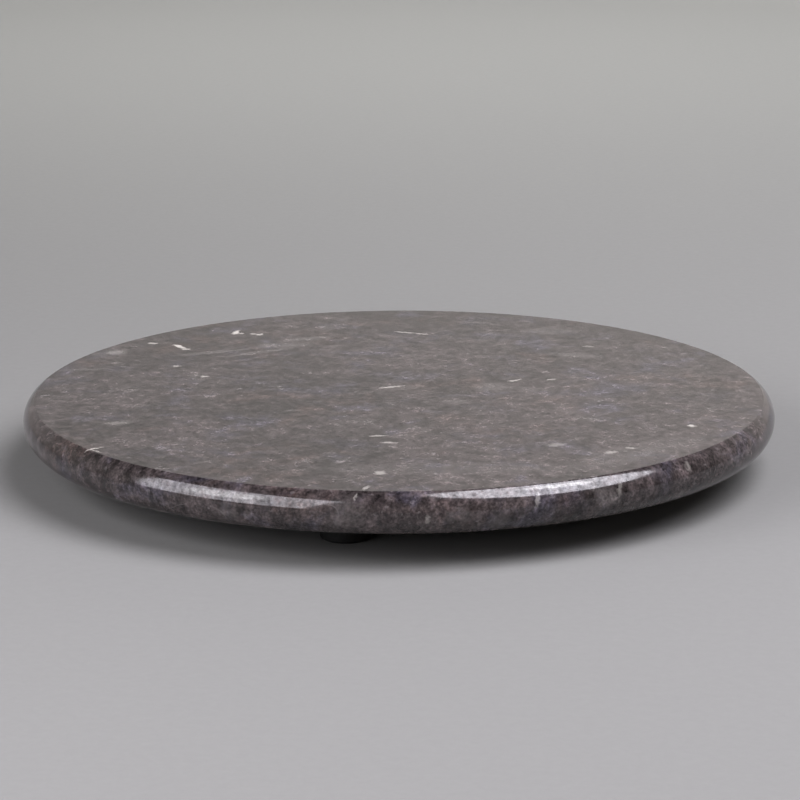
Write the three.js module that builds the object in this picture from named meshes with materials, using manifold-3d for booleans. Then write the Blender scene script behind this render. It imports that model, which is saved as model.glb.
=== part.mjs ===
// Lazy susan turntable: a polished stone disc that turns on a ring ball bearing with rubber feet.
// Units are millimetres and +Z is up. The origin is on the table, under the centre of the disc.
//
// The bearing's outer ring stands still on the feet. Its inner ring is screwed to the stone and
// turns with it, and a cage keeps the balls apart in the groove between the two rings.

import * as THREE from 'three';
import { mergeVertices } from 'three/addons/utils/BufferGeometryUtils.js';
import Module from 'manifold-3d';

const wasm = await Module();
wasm.setup();

// ---- Driving dimensions ------------------------------------------------------------------

const DISC_RADIUS = 152.4; // a 12 inch disc
const SLAB_THICKNESS = 16; // a 5/8 inch slab, polished on both faces
const FLAT_RADIUS = 147.8; // where each flat face meets the rounded edge, at a slight crease
const CLEARANCE = 13.6; // table to the underside of the stone
const FOOT_HEIGHT = 4.5;
const FOOT_RADIUS = 10;
const FOOT_CIRCLE_RADIUS = 108.2;
const FOOT_COUNT = 4;

const RUNNING_GAP = 0.7; // outer ring to stone, and inner ring above the outer ring's underside
const BASE_OUTER_RADIUS = 118;
const ROTOR_INNER_RADIUS = 76;
const RACE_RADIUS = 96; // circle of ball centres
const RACE_GAP = 2; // between the walls of the two rings
const BALL_RADIUS = 2;
const BALL_COUNT = 24;
const FIT = 0.3; // clearance round balls, screws and inserts

const CAGE_WALL = 0.9;
const CAGE_HEIGHT = 6;
const EDGE_BEVEL = 0.6; // broken edges of both rings
const FOOT_SIDE_BEVEL = 1.8; // wider bevel where the outer ring's underside shows

const ROTOR_SCREW_CIRCLE_RADIUS = 84;
const ROTOR_SCREW_COUNT = 4;
const SCREW_RADIUS = 2; // M4
const SCREW_IN_STONE = 7.4;
const COUNTERSINK_RADIUS = 4;
const COUNTERSINK_DEPTH = 2.2;
const HEAD_SET_BACK = 0.5; // screw heads sit this far below the surface round them
const RECESS_DEPTH = 1; // cross recess in a screw head
const RECESS_WIDTH = 0.9;

const INSERT_RADIUS = 4;
const INSERT_LENGTH = 8;
const INSERT_GROOVE_DEPTH = 0.4;
const INSERT_SET_BACK = 0.4; // insert's mouth above the underside of the stone

const FOOT_SCREW_HEAD_RADIUS = 3.7;
const FOOT_SCREW_HEAD_HEIGHT = 1.2;
const FOOT_SCREW_END = 11; // height of the screw's tip above the table
const FOOT_EDGE_ROUND = 1;
const FOOT_TOP_SHRINK = 0.4; // moulding draft: the foot is a little narrower at the ring

const PLUG_ANGLE = THREE.MathUtils.degToRad(45); // midway between two feet
const PLUG_RADIUS = 2.1;
const PLUG_SET_BACK = 1; // plug's outer end inside the ring's wall

const DISC_SEGMENTS = 72;
const RING_SEGMENTS = 60;
const FOOT_SEGMENTS = 24;
const SCREW_SEGMENTS = 12;
const NOSE_STEPS = 8; // steps round the disc's rounded edge
const GROOVE_STEPS = 5; // steps round each ball groove
const POCKET_SEGMENTS = 10; // sides of a ball pocket in the cage

// ---- Worked-out dimensions ---------------------------------------------------------------

const discTop = CLEARANCE + SLAB_THICKNESS;
const noseDepth = DISC_RADIUS - FLAT_RADIUS;
const noseRadius = ((SLAB_THICKNESS / 2) ** 2 + noseDepth ** 2) / (2 * noseDepth);
const noseHalfAngle = THREE.MathUtils.radToDeg(Math.asin(SLAB_THICKNESS / 2 / noseRadius));
const ringThickness = CLEARANCE - FOOT_HEIGHT - RUNNING_GAP;
const baseBottom = FOOT_HEIGHT;
const baseTop = baseBottom + ringThickness;
const rotorBottom = CLEARANCE - ringThickness;
const raceHeight = (baseBottom + CLEARANCE) / 2;
const baseInnerRadius = RACE_RADIUS + RACE_GAP / 2;
const rotorOuterRadius = RACE_RADIUS - RACE_GAP / 2;
const grooveRadius = BALL_RADIUS + FIT;
const holeRadius = SCREW_RADIUS + FIT;

// ---- Materials ---------------------------------------------------------------------------

const FINISHES = {
  stone: { color: 0x4a4645, roughness: 0.12, metalness: 0 },
  aluminium: { color: 0xa9acb0, roughness: 0.4, metalness: 0.9 },
  rubber: { color: 0x121212, roughness: 0.8, metalness: 0 },
  steel: { color: 0x8d9094, roughness: 0.3, metalness: 1 },
  brass: { color: 0xb08d47, roughness: 0.35, metalness: 1 },
  nylon: { color: 0xd9d6cb, roughness: 0.6, metalness: 0 },
};

// ---- Helpers -----------------------------------------------------------------------------

const turntable = new THREE.Group();

function addPiece(name, geometry, finish) {
  const piece = new THREE.Mesh(geometry, new THREE.MeshStandardMaterial(FINISHES[finish]));
  piece.name = name;
  turntable.add(piece);
  return piece;
}

// A turned solid. The profile is [radius, height] points, counter-clockwise seen with the radius
// to the right. It starts and ends on the axis, or else it is closed here into a ring.
function turned(profile, segments) {
  const points = profile.map(([radius, height]) => new THREE.Vector2(radius, height));
  if (points[0].x > 0) points.push(points[0].clone());
  return new THREE.LatheGeometry(points, segments).rotateX(Math.PI / 2);
}

// Points of an arc in a profile, ends included.
function arc(centre, radius, startDegrees, endDegrees, steps) {
  return Array.from({ length: steps + 1 }, (_, i) => {
    const angle = THREE.MathUtils.degToRad(startDegrees + ((endDegrees - startDegrees) * i) / steps);
    return [centre[0] + radius * Math.cos(angle), centre[1] + radius * Math.sin(angle)];
  });
}

// An upright cylinder between two heights.
function upright(radius, bottom, top, segments = SCREW_SEGMENTS) {
  const height = top - bottom;
  const geometry = new THREE.CylinderGeometry(radius, radius, height, segments).rotateX(Math.PI / 2);
  return geometry.translate(0, 0, bottom + height / 2);
}

// A cylinder lying along a radius of the turntable, at the height of the balls.
function radial(radius, innerEnd, outerEnd, angle, segments = SCREW_SEGMENTS) {
  const length = outerEnd - innerEnd;
  const geometry = new THREE.CylinderGeometry(radius, radius, length, segments).rotateZ(Math.PI / 2);
  return geometry.translate(innerEnd + length / 2, 0, raceHeight).rotateZ(angle);
}

function toSolid(geometry) {
  const bare = geometry.clone();
  bare.deleteAttribute('normal');
  bare.deleteAttribute('uv');
  const welded = mergeVertices(bare, 1e-4);
  const corners = Array.from(welded.index.array);
  const triVerts = [];
  for (let i = 0; i < corners.length; i += 3) {
    const [a, b, c] = corners.slice(i, i + 3);
    if (a !== b && b !== c && c !== a) triVerts.push(a, b, c);
  }
  const mesh = new wasm.Mesh({
    numProp: 3,
    vertProperties: new Float32Array(welded.attributes.position.array),
    triVerts: new Uint32Array(triVerts),
  });
  return new wasm.Manifold(mesh);
}

function toGeometry(solid) {
  const { vertProperties, triVerts } = solid.getMesh();
  const geometry = new THREE.BufferGeometry();
  geometry.setAttribute('position', new THREE.BufferAttribute(vertProperties, 3));
  geometry.setIndex(new THREE.BufferAttribute(triVerts, 1));
  return geometry;
}

function cutAway(geometry, tools) {
  return toGeometry(tools.reduce((solid, tool) => solid.subtract(toSolid(tool)), toSolid(geometry)));
}

// Angles of a number of places spread evenly round the turntable.
function spread(count, start = 0) {
  return Array.from({ length: count }, (_, i) => start + (i * 2 * Math.PI) / count);
}

function onCircle(radius, angle) {
  return [radius * Math.cos(angle), radius * Math.sin(angle)];
}

function copyTo(geometry, [x, y]) {
  return geometry.clone().translate(x, y, 0);
}

// The two slots of a cross recess, cut upwards into a screw head whose face is at this height.
function crossRecess(face, length) {
  const bars = [[length, RECESS_WIDTH], [RECESS_WIDTH, length]];
  return bars.map(([x, y]) => {
    const bar = new THREE.BoxGeometry(x, y, 2 * RECESS_DEPTH);
    return bar.translate(0, 0, face);
  });
}

// ---- Places ------------------------------------------------------------------------------

const footPlaces = spread(FOOT_COUNT, -Math.PI / 2).map((angle) => onCircle(FOOT_CIRCLE_RADIUS, angle));
const rotorScrewPlaces = spread(ROTOR_SCREW_COUNT, Math.PI / ROTOR_SCREW_COUNT).map((angle) =>
  onCircle(ROTOR_SCREW_CIRCLE_RADIUS, angle),
);
const ballAngles = spread(BALL_COUNT, Math.PI / BALL_COUNT);

// ---- Stone disc --------------------------------------------------------------------------

// A flat disc with a rounded edge, and four blind holes for the threaded inserts.
function makeStone() {
  const noseCentre = [DISC_RADIUS - noseRadius, CLEARANCE + SLAB_THICKNESS / 2];
  const nose = arc(noseCentre, noseRadius, -noseHalfAngle, noseHalfAngle, NOSE_STEPS);
  const disc = turned([[0, CLEARANCE], ...nose, [0, discTop]], DISC_SEGMENTS);
  const holeEnd = CLEARANCE + INSERT_SET_BACK + INSERT_LENGTH + FIT;
  const hole = upright(INSERT_RADIUS + FIT, CLEARANCE - 1, holeEnd, 2 * SCREW_SEGMENTS);
  return cutAway(disc, rotorScrewPlaces.map((place) => copyTo(hole, place)));
}

addPiece('stone_top', makeStone(), 'stone');

// ---- Threaded inserts in the stone -------------------------------------------------------

// A brass bush with two glue grooves round it.
function makeInsert() {
  const bottom = CLEARANCE + INSERT_SET_BACK;
  const band = INSERT_LENGTH / 5; // three ribs and two grooves of equal width
  const rootRadius = INSERT_RADIUS - INSERT_GROOVE_DEPTH;
  const side = [INSERT_RADIUS, rootRadius, INSERT_RADIUS, rootRadius, INSERT_RADIUS].flatMap((radius, i) => [
    [radius, bottom + band * i],
    [radius, bottom + band * (i + 1)],
  ]);
  return turned([[holeRadius, bottom], ...side, [holeRadius, bottom + INSERT_LENGTH]], SCREW_SEGMENTS);
}

rotorScrewPlaces.forEach((place, i) => {
  addPiece(`threaded_insert_${i + 1}`, makeInsert(), 'brass').position.set(...place, 0);
});

// ---- Inner ring of the bearing, which turns ----------------------------------------------

// Ball groove in a ring's wall: about 0 degrees in the outer ring and 180 in the inner one. It runs
// down the outer ring's inside and up the inner ring's outside, as their profiles do.
function ballGroove(middle) {
  const half = THREE.MathUtils.radToDeg(Math.acos(RACE_GAP / 2 / grooveRadius));
  return arc([RACE_RADIUS, raceHeight], grooveRadius, middle + half, middle - half, GROOVE_STEPS);
}

function makeRotorRing() {
  const ring = turned(
    [
      [ROTOR_INNER_RADIUS + EDGE_BEVEL, rotorBottom],
      [rotorOuterRadius - EDGE_BEVEL, rotorBottom],
      [rotorOuterRadius, rotorBottom + EDGE_BEVEL],
      ...ballGroove(180),
      [rotorOuterRadius, CLEARANCE],
      [ROTOR_INNER_RADIUS, CLEARANCE],
      [ROTOR_INNER_RADIUS, rotorBottom + EDGE_BEVEL],
    ],
    RING_SEGMENTS,
  );
  const hole = turned(
    [
      [0, rotorBottom - 1],
      [COUNTERSINK_RADIUS + FIT, rotorBottom - 1],
      [COUNTERSINK_RADIUS + FIT, rotorBottom + HEAD_SET_BACK],
      [holeRadius, rotorBottom + HEAD_SET_BACK + COUNTERSINK_DEPTH],
      [holeRadius, CLEARANCE + 1],
      [0, CLEARANCE + 1],
    ],
    SCREW_SEGMENTS,
  );
  return cutAway(ring, rotorScrewPlaces.map((place) => copyTo(hole, place)));
}

addPiece('rotor_ring', makeRotorRing(), 'aluminium');

// ---- Countersunk screws that hold the stone ----------------------------------------------

function makeRotorScrew() {
  const face = rotorBottom + HEAD_SET_BACK;
  const screw = turned(
    [
      [0, face],
      [COUNTERSINK_RADIUS, face],
      [SCREW_RADIUS, face + COUNTERSINK_DEPTH],
      [SCREW_RADIUS, CLEARANCE + SCREW_IN_STONE],
      [0, CLEARANCE + SCREW_IN_STONE],
    ],
    SCREW_SEGMENTS,
  );
  return cutAway(screw, crossRecess(face, COUNTERSINK_RADIUS));
}

rotorScrewPlaces.forEach((place, i) => {
  addPiece(`rotor_screw_${i + 1}`, makeRotorScrew(), 'steel').position.set(...place, 0);
});

// ---- Outer ring of the bearing, which stands still ---------------------------------------

// It carries the feet, and a hole through its wall takes the balls in when the bearing is made.
function makeBaseRing() {
  const ring = turned(
    [
      [baseInnerRadius + EDGE_BEVEL, baseBottom],
      [BASE_OUTER_RADIUS - FOOT_SIDE_BEVEL, baseBottom],
      [BASE_OUTER_RADIUS, baseBottom + FOOT_SIDE_BEVEL],
      [BASE_OUTER_RADIUS, baseTop - EDGE_BEVEL],
      [BASE_OUTER_RADIUS - EDGE_BEVEL, baseTop],
      [baseInnerRadius, baseTop],
      ...ballGroove(0),
      [baseInnerRadius, baseBottom + EDGE_BEVEL],
    ],
    RING_SEGMENTS,
  );
  const screwHole = upright(holeRadius, baseBottom - 1, FOOT_SCREW_END + FIT);
  const fillHole = radial(PLUG_RADIUS + FIT, RACE_RADIUS, BASE_OUTER_RADIUS + 1, PLUG_ANGLE);
  return cutAway(ring, [...footPlaces.map((place) => copyTo(screwHole, place)), fillHole]);
}

addPiece('base_ring', makeBaseRing(), 'aluminium');

// ---- Plug of the ball filling hole -------------------------------------------------------

function makeFillPlug() {
  const innerEnd = RACE_RADIUS + grooveRadius + FIT;
  const outerEnd = BASE_OUTER_RADIUS - PLUG_SET_BACK;
  const plug = radial(PLUG_RADIUS, innerEnd, outerEnd, 0);
  const slot = new THREE.BoxGeometry(2 * RECESS_DEPTH, 3 * PLUG_RADIUS, RECESS_WIDTH);
  return cutAway(plug, [slot.translate(outerEnd, 0, raceHeight)]).rotateZ(PLUG_ANGLE);
}

addPiece('fill_plug', makeFillPlug(), 'steel');

// ---- Balls and their cage ----------------------------------------------------------------

function makeCage() {
  const [inner, outer] = [RACE_RADIUS - CAGE_WALL / 2, RACE_RADIUS + CAGE_WALL / 2];
  const [bottom, top] = [raceHeight - CAGE_HEIGHT / 2, raceHeight + CAGE_HEIGHT / 2];
  const strip = turned([[inner, bottom], [outer, bottom], [outer, top], [inner, top]], 3 * BALL_COUNT);
  const pockets = ballAngles.map((angle) => radial(grooveRadius, inner - 1, outer + 1, angle, POCKET_SEGMENTS));
  return cutAway(strip, pockets);
}

addPiece('ball_cage', makeCage(), 'nylon');

ballAngles.forEach((angle, i) => {
  const ball = new THREE.IcosahedronGeometry(BALL_RADIUS, 1);
  const name = `ball_${String(i + 1).padStart(2, '0')}`;
  addPiece(name, ball, 'steel').position.set(...onCircle(RACE_RADIUS, angle), raceHeight);
});

// ---- Rubber feet and their screws --------------------------------------------------------

function makeFoot() {
  const seat = HEAD_SET_BACK + FOOT_SCREW_HEAD_HEIGHT + FIT; // underside of the head's counterbore
  const wellRadius = FOOT_SCREW_HEAD_RADIUS + FIT;
  const roundCentre = [FOOT_RADIUS - FOOT_EDGE_ROUND, FOOT_EDGE_ROUND];
  return turned(
    [
      [wellRadius, 0],
      ...arc(roundCentre, FOOT_EDGE_ROUND, -90, 0, 3),
      [FOOT_RADIUS - FOOT_TOP_SHRINK, FOOT_HEIGHT],
      [holeRadius, FOOT_HEIGHT],
      [holeRadius, seat],
      [wellRadius, seat],
    ],
    FOOT_SEGMENTS,
  );
}

function makeFootScrew() {
  const face = HEAD_SET_BACK;
  const neck = face + FOOT_SCREW_HEAD_HEIGHT;
  const screw = turned(
    [
      [0, face],
      [FOOT_SCREW_HEAD_RADIUS, face],
      [FOOT_SCREW_HEAD_RADIUS, neck],
      [SCREW_RADIUS, neck],
      [SCREW_RADIUS, FOOT_SCREW_END],
      [0, FOOT_SCREW_END],
    ],
    SCREW_SEGMENTS,
  );
  return cutAway(screw, crossRecess(face, FOOT_SCREW_HEAD_RADIUS));
}

footPlaces.forEach((place, i) => {
  addPiece(`foot_${i + 1}`, makeFoot(), 'rubber').position.set(...place, 0);
  addPiece(`foot_screw_${i + 1}`, makeFootScrew(), 'steel').position.set(...place, 0);
});

export default turntable;
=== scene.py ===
import math

import bmesh
import bpy
from bpy.props import FloatProperty, IntProperty, PointerProperty, StringProperty
from mathutils import Matrix, Vector


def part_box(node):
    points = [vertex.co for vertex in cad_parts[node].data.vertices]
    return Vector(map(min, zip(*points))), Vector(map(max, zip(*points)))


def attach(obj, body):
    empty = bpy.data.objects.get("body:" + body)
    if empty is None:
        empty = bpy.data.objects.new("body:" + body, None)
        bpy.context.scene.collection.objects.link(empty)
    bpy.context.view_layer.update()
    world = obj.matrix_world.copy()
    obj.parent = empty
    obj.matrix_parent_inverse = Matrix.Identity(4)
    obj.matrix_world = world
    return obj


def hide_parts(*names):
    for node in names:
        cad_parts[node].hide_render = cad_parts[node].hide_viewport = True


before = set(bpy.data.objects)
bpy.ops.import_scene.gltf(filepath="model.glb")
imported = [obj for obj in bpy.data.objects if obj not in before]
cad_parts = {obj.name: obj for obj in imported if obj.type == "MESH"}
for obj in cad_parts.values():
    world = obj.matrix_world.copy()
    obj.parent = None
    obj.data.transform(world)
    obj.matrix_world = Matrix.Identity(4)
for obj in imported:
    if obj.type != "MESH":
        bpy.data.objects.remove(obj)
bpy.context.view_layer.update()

bl_info = {
    "name": "Stone Lazy Susan",
    "version": (1, 0, 0),
    "blender": (4, 5, 0),
    "location": "View3D > Sidebar > Lazy Susan",
    "description": "Builds the visible pieces of a stone turntable round its packed frame",
    "category": "Object",
}

MM = 0.001  # metres in a millimetre

# ---- Sizes read from the frame -----------------------------------------------------------


def size_of(name):
    """Lowest and highest corner of a frame node."""
    low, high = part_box(name)
    return Vector(low), Vector(high)


def numbered(stem, count, digits=1):
    return [f"{stem}_{i + 1:0{digits}d}" for i in range(count)]


STONE_LOW, STONE_HIGH = size_of("stone_top")
BASE_LOW, BASE_HIGH = size_of("base_ring")
ROTOR_LOW, ROTOR_HIGH = size_of("rotor_ring")
FOOT_LOW, FOOT_HIGH = size_of("foot_1")
CAGE_LOW, CAGE_HIGH = size_of("ball_cage")
FOOT_SCREW_LOW, FOOT_SCREW_HIGH = size_of("foot_screw_1")
ROTOR_SCREW_LOW, ROTOR_SCREW_HIGH = size_of("rotor_screw_1")
INSERT_LOW, INSERT_HIGH = size_of("threaded_insert_1")

BALLS = numbered("ball", 24, 2)
FEET = numbered("foot", 4)
FOOT_SCREWS = numbered("foot_screw", 4)
ROTOR_SCREWS = numbered("rotor_screw", 4)
INSERTS = numbered("threaded_insert", 4)

DISC_RADIUS = STONE_HIGH.x
BASE_RADIUS = BASE_HIGH.x
ROTOR_RADIUS = ROTOR_HIGH.x
FOOT_RADIUS = (FOOT_HIGH.x - FOOT_LOW.x) / 2
FOOT_CIRCLE = -(FOOT_LOW.y + FOOT_HIGH.y) / 2


def middle_of(name):
    low, high = size_of(name)
    return (low + high) / 2


def radius_of(point):
    return math.hypot(point.x, point.y)


RACE_RADIUS = radius_of(middle_of(BALLS[0]))
RACE_HEIGHT = middle_of(BALLS[0]).z
ROTOR_SCREW_CIRCLE = radius_of(middle_of(ROTOR_SCREWS[0]))

# Radii that the frame's boxes don't give, as the parts are made.
FLAT_RADIUS = 147.8 * MM
CREASE_RADIUS = 0.6 * MM
ROTOR_BORE = 76 * MM
RACE_GAP = 2 * MM
BALL_RADIUS = 2 * MM
GROOVE_RADIUS = 2.3 * MM
SHANK_RADIUS = 2 * MM
SHANK_HOLE = 2.3 * MM
INSERT_HOLE = 4.3 * MM
THREAD_PITCH = 0.7 * MM
THREAD_DEPTH = 0.35 * MM
THREAD_END = 0.5 * MM
SCREW_POINT = 0.4 * MM
PLUG_RADIUS = 2.1 * MM
PLUG_ANGLE = math.radians(45)
COUNTERSINK = 4 * MM
COUNTERSINK_DEPTH = 2.2 * MM
FOOT_HEAD_HEIGHT = 1.2 * MM
RECESS_DEPTH = 1 * MM
RECESS_WIDTH = 0.9 * MM
EDGE_ROUND = 0.6 * MM
EDGE_BREAK = 0.2 * MM
BASE_BEVEL = 1.8 * MM
CAGE_WALL = 0.9 * MM
CAGE_ROUND = 0.2 * MM
ROTOR_SCREW_START = math.pi / 4
BALL_START = math.pi / 24
CLEARANCE = 0.3 * MM
PLUG_CHAMFER = 0.3 * MM
SOLE_BEVEL = 0.3 * MM
INSERT_BEVEL = 0.15 * MM
GLUE_GROOVE_DEPTH = 0.4 * MM
GLUE_GROOVE_SLOPE = 0.1 * MM
GRIP_RINGS = (6.2 * MM, 7.7 * MM)  # moulded into the sole of each foot
GRIP_DEPTH = 0.35 * MM

SHARP_ANGLE = math.radians(35)

# A ring of points on the flat, just inside the crease, keeps the flat's shading true.
SHOULDER = 0.8 * MM
CREASE_STEPS = 6
NOSE_STEPS = 40
RING_SEGMENTS = 288
FOOT_SEGMENTS = 96
HOLE_SEGMENTS = 48
SCREW_SEGMENTS = 40
FOOT_HOLE_SEGMENTS = 32

# Backdrop and lights, in metres. Places are as the camera sees them: X right, Y away, Z up.
FLOOR_RADIUS = 2.3
FLOOR_RINGS = (0.3, 1.0, 1.8)
SWEEP_RADIUS = 1.0
WALL_HEIGHT = 3.4
PAPER_THICKNESS = 0.05
SWEEP_STEPS = 24
BACKDROP_SEGMENTS = 128
FLOOR_LIGHT_WAY = (0.15, 0.9, 1.5)
FLOOR_LIGHT_DISTANCE = 1.75
FLOOR_LIGHT_AIM = (0, 1, -0.6)
FLOOR_LIGHT_SIZE = (1.6, 0.4)
WALL_LIGHT_PLACE = (0, 1.9, 1.3)
WALL_LIGHT_AIM = (0, 1, -0.3)
WALL_LIGHT_SIZE = (1.3, 0.4)
# Shares of the wall lights' power, from the one behind on the right, clockwise as seen from above.
WALL_SHARES = (1.1, 0.5, 0.5, 0.6, 0.7, 0.8, 1.0, 0.3)
LIGHT_TONE = "#f9f7ff"
WALL_TONE = "#fff5f2"
WHITE = "#ffffff"

# Single shells in the stone, then pale and dark patches: place as seen from the front (millimetres from
# the middle, and height), length, width, turn in degrees and strength.
TOP = STONE_HIGH.z / MM
SHELLS = (
    (-72, 105, TOP, 9, 3, 80, 0.75),
    (-70, 103, TOP, 4, 2.4, 20, 0.5),
    (-64, 102, TOP, 4, 2.5, 0, 0.55),
    (-61, 101, TOP, 4, 3, 40, 0.6),
    (-95, 79, TOP, 11, 3.2, -52, 0.75),
    (-92, 74, TOP, 5, 3, -10, 0.6),
    (-107, 85, TOP, 5, 3.5, 0, 0.5),
    (-122, 69, TOP, 10, 9, 0, 0.18),
    (3, 104, TOP, 11, 2.2, -20, 0.45),
    (10, 101, TOP, 8, 2, -18, 0.42),
    (-94, 43, TOP, 4, 3, 0, 0.4),
    (-81, 25, TOP, 4, 3, 0, 0.5),
    (-110, -50, TOP, 12, 6, 10, 0.16),
    (-116, -88, TOP, 9, 1.6, 35, 0.5),
    (-115, -91, TOP, 7, 1.6, -40, 0.4),
    (-8, -71, TOP, 8, 3, 8, 0.36),
    (-4, -81, TOP, 7, 3, -5, 0.33),
    (-3, 6, TOP, 12, 3, 22, 0.4),
    (-7, -123, TOP, 5, 6, 0, 0.35),
    (48, 16, TOP, 7, 2.5, 35, 0.45),
    (63, 17, TOP, 6, 2.5, 25, 0.3),
    (114, -58, TOP, 4, 3.5, -20, 0.6),
    (82, 76, TOP, 6, 3, 0, 0.22),
    (60, -85, TOP, 9, 5, 20, 0.2),
    (80, -96, TOP, 7, 4, 30, 0.3),
    (88, -90, TOP, 5, 3, -20, 0.3),
    (-12, -143, TOP, 8, 2.2, 70, 0.3),
    (-15, -148, 27.5, 6, 1.2, 60, 0.3),
    (108, -105, 26.4, 3, 3, 0, 0.2),
    (50, -143, 24.8, 1.8, 5, 0, 0.22),
    (10, -152, 20.0, 3, 2, 40, 0.2),
    (81, -128, 24.5, 2, 5, 0, 0.18),
)
HAZES = (
    (-80, 68, TOP, 40, 6, 20, 0.5),
    (-59, 68, TOP, 36, 6, 30, 0.6),
    (-49, 81, TOP, 30, 9, 10, 0.55),
    (-40, 92, TOP, 30, 8, 20, 0.55),
    (-132, 38, TOP, 24, 5, 8, 0.4),
    (-124, 66, TOP, 18, 9, 10, 0.4),
    (38, 5, TOP, 16, 16, 0, 0.5),
    (52, 2, TOP, 22, 8, -20, 0.3),
    (75, 60, TOP, 26, 9, -15, 0.45),
    (66, 105, TOP, 30, 14, 0, 0.4),
    (23, -19, TOP, 14, 8, 0, 0.4),
    (0, 4, TOP, 20, 7, 10, 0.35),
    (88, -98, TOP, 80, 22, 38, 0.3),
    (20, -118, TOP, 120, 20, 0, 0.22),
    (-19, -151, 22.5, 16, 14, 0, 0.28),
    (-62, -138, 19.0, 10, 8, 0, 0.3),
    (36, -147, 18.0, 9, 7, 0, 0.3),
    (22, -151, 21.0, 12, 5, 0, 0.28),
    (76, -132, 22.0, 11, 9, 0, 0.28),
)
DARKS = (
    (60, -140, 20.0, 14, 12, 0, 0.6),
    (98, -116, 21.0, 26, 10, 50, 0.6),
    (114, -101, 21.0, 16, 10, 0, 0.5),
    (37, -148, 17.0, 12, 8, 0, 0.5),
)

# ---- Settings ----------------------------------------------------------------------------


def length(name, description, default):
    return FloatProperty(name=name, description=description, default=default, unit="LENGTH")


def angle(name, description, degrees):
    return FloatProperty(name=name, description=description, default=math.radians(degrees), subtype="ANGLE")


def power(name, description, default):
    return FloatProperty(name=name, description=description, default=default, unit="POWER")


def colour(name, description, default):
    return StringProperty(name=name, description=description + ", as an sRGB hex value", default=default)


class StoneSettings(bpy.types.PropertyGroup):
    """Colours and pattern sizes of the stone disc."""

    ground: colour("Ground", "Main tone of the stone", "#4b4444")
    shade: colour("Shade", "Darker cloud tone", "#393434")
    dark: colour("Dark", "Darkest patches", "#282425")
    violet: colour("Violet", "Cool cloud tone", "#4a4750")
    rust: colour("Rust", "Iron-stained tone", "#4c3f3b")
    debris: colour("Debris", "Fine shell fragments", "#a09b9b")
    haze: colour("Haze", "Pale cloudy patches", "#7b7674")
    shell: colour("Shell", "Large white shells", "#e4e0d8")
    cloud_size: length("Cloud size", "Width of the clouds of tone", 48 * MM)
    grain_size: length("Grain size", "Width of the crystals", 2 * MM)
    segments: IntProperty(name="Segments", description="Steps round the disc", default=360, min=32)


class BearingSettings(bpy.types.PropertyGroup):
    """Finish of the ring bearing and its fixings."""

    aluminium: colour("Aluminium", "Turned rings", "#b9bbbd")
    steel: colour("Steel", "Zinc-plated screws and plug", "#a7a9ab")
    chrome: colour("Chrome steel", "Bearing balls", "#c3c5c8")
    brass: colour("Brass", "Threaded inserts", "#c09a55")
    nylon: colour("Nylon", "Ball cage", "#d8d4c6")
    tool_mark: length("Tool mark", "Spacing of the turning marks", 0.35 * MM)


class FootSettings(bpy.types.PropertyGroup):
    """Finish of the rubber feet."""

    rubber: colour("Rubber", "Moulded feet", "#0a0909")
    edge_round: length("Edge round", "Radius of the foot's bottom edge", 1 * MM)


class StageSettings(bpy.types.PropertyGroup):
    """Camera, lights and backdrop."""

    paper: colour("Paper", "Floor and backdrop", "#90908e")
    azimuth: angle("Azimuth", "Camera's bearing round the turntable", 10.6)
    pitch: angle("Pitch", "How far the camera looks down", 14.44)
    roll: angle("Roll", "Camera's tilt", 0.23)
    setback: length("Set-back", "Camera's level distance from the spin axis", 1186.2 * MM)
    rise: length("Rise", "Camera's height above the middle of the slab", 309.4 * MM)
    sidestep: length("Sidestep", "Camera's distance to the right of the axis", 0.44 * MM)
    left_power: power("Left power", "Left softbox", 8.6)
    right_power: power("Right power", "Right octabox", 20.0)
    wall_power: power("Wall power", "Each wall light, before its share", 27.0)
    floor_power: power("Floor power", "Light on the floor behind the disc", 46.0)
    fill: FloatProperty(name="Fill", description="Even light from all round", default=0.01, min=0)


# ---- Node and mesh helpers ---------------------------------------------------------------


def linear(hex_colour):
    """Turns an sRGB hex value into a linear RGBA colour."""
    parts = [int(hex_colour[i : i + 2], 16) / 255 for i in (1, 3, 5)]
    red, green, blue = (c / 12.92 if c <= 0.04045 else ((c + 0.055) / 1.055) ** 2.4 for c in parts)
    return (red, green, blue, 1.0)


# Settings of a mix of colours: one laid over the other, or the two multiplied.
LAID = {"data_type": "RGBA"}
MULTIPLIED = {"data_type": "RGBA", "blend_type": "MULTIPLY"}


def node(tree, kind, inputs=None, out=0, **settings):
    """Adds a node, sets its properties and inputs, links inputs given a socket, and returns one output."""
    made = tree.nodes.new(kind)
    for name, value in settings.items():
        setattr(made, name, value)
    for name, value in (inputs or {}).items():
        socket = made.inputs[name] if isinstance(name, int) else shown(made.inputs, name)
        if isinstance(value, bpy.types.NodeSocket):
            tree.links.new(value, socket)
        else:
            socket.default_value = value
    outputs = [socket for socket in made.outputs if socket.enabled]
    if not outputs:
        return None
    return outputs[out] if isinstance(out, int) else shown(outputs, out)


def shown(sockets, name):
    """The socket of that name that the node's settings leave in use."""
    return next(socket for socket in sockets if socket.name == name and socket.enabled)


def new_material(name, turn=0.0, **values):
    """A material, its tree, its Principled shader with sockets set by name, and millimetre coordinates."""
    material = bpy.data.materials.new(name)
    material.use_nodes = True
    tree = material.node_tree
    shader = tree.nodes["Principled BSDF"]
    for socket, value in values.items():
        shader.inputs[socket.replace("_", " ")].default_value = value
    return material, tree, shader, object_mm(tree, turn)


def feed(tree, shader, **sockets):
    """Links sockets to the shader's inputs of those names."""
    for name, socket in sockets.items():
        tree.links.new(socket, shader.inputs[name.replace("_", " ")])


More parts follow.
